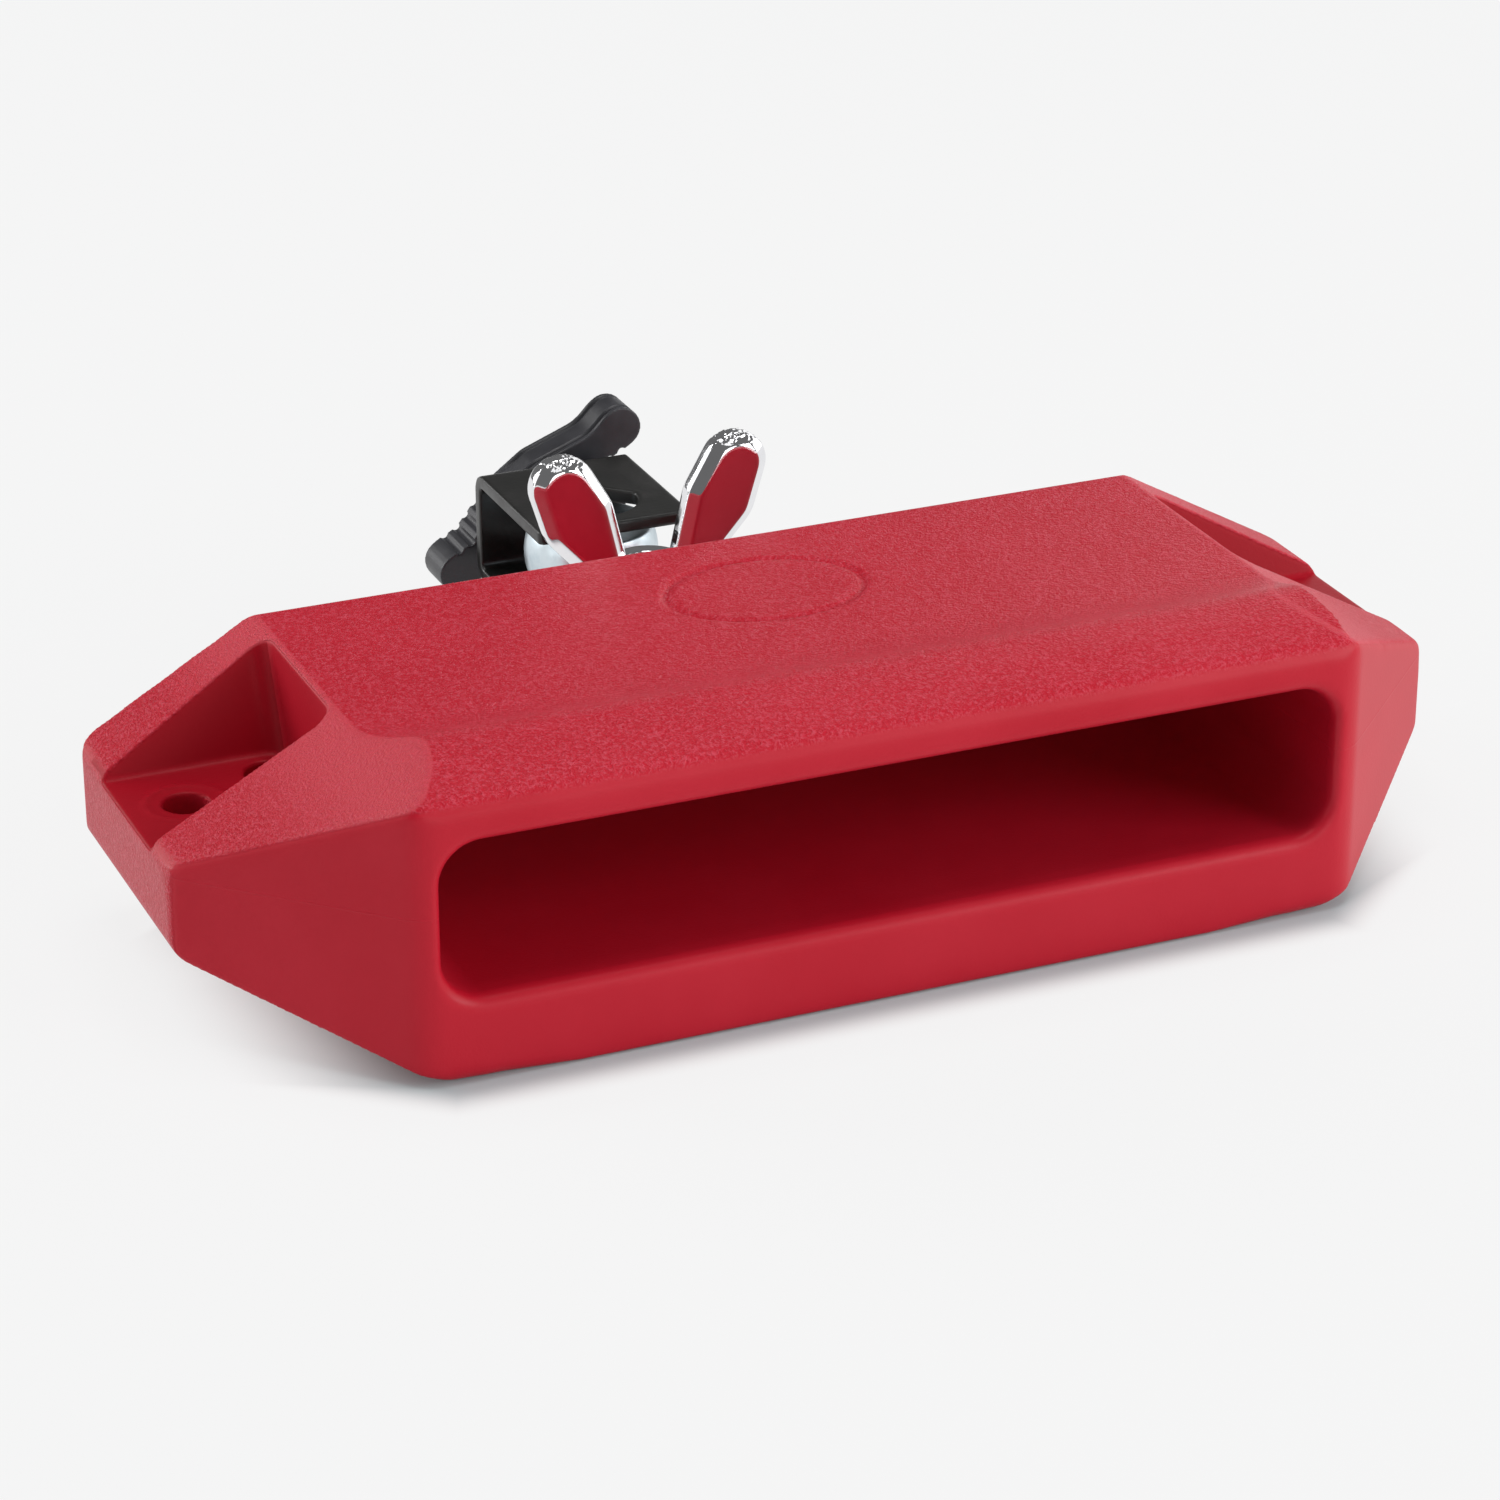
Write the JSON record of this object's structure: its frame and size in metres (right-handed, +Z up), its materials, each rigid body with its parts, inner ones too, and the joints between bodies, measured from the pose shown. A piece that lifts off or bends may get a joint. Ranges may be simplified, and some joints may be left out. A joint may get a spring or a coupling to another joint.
{
  "type": "slotted percussion block with rod clamp",
  "caption": "Moulded plastic percussion block with a long front slot, sloped ends with pockets, and a swivelling steel rod clamp with wing nut and T-handle.",
  "frame": {"origin": "centre of the block's flat base, which lies on z = 0", "axes": "+X along the block, the slot faces -Y, the clamp stands behind the block on the +Y side, +Z up"},
  "size_m": [0.25, 0.1911, 0.0641],
  "materials": {
    "red_plastic": "fine-grained moulded plastic",
    "black_steel": "black powder coat",
    "zinc_steel": "zinc plated",
    "chrome": "polished",
    "black_plastic": "satin moulded plastic",
    "brass": "turned"
  },
  "bodies": {
    "block": {"block_body": "red_plastic", "flat_washer": "zinc_steel"},
    "clamp": {"clamp_bracket": "black_steel", "pivot_bolt": "zinc_steel", "handle_washer": "zinc_steel"},
    "eye": {"eye_bolt": "zinc_steel"},
    "handle": {"t_handle": "black_plastic", "threaded_insert": "brass"},
    "spring_washer": {"lock_washer": "zinc_steel"},
    "nut": {"wing_nut": "chrome"}
  },
  "joints": [
    {"name": "clamp_swivel", "type": "hinge", "parent": "block", "child": "clamp", "pos_m": [0, 0.07425, 0.02385], "axis": [0, 0, 1], "range_deg": [-75, 75]},
    {"name": "handle_turn", "type": "hinge", "parent": "clamp", "child": "handle", "pos_m": [0, 0.138, 0.03], "axis": [0, -1, 0], "range_deg": [-1240, 1240]},
    {"name": "eye_draw", "type": "slide", "parent": "clamp", "child": "eye", "axis": [0, 1, 0], "range_m": [-0.0043, 0.0043]},
    {"name": "nut_rise", "type": "slide", "parent": "block", "child": "spring_washer", "axis": [0, 0, 1], "range_m": [0, 0.00125]},
    {"name": "nut_turn", "type": "hinge", "parent": "spring_washer", "child": "nut", "pos_m": [0, 0.07425, 0.0353], "axis": [0, 0, 1], "range_deg": [0, 359]}
  ],
  "couplings": [
    {"joint": "handle_turn", "follows": "eye_draw", "rad_per_m": 5026.6},
    {"joint": "nut_rise", "follows": "nut_turn", "m_per_rad": 0.00019894}
  ]
}
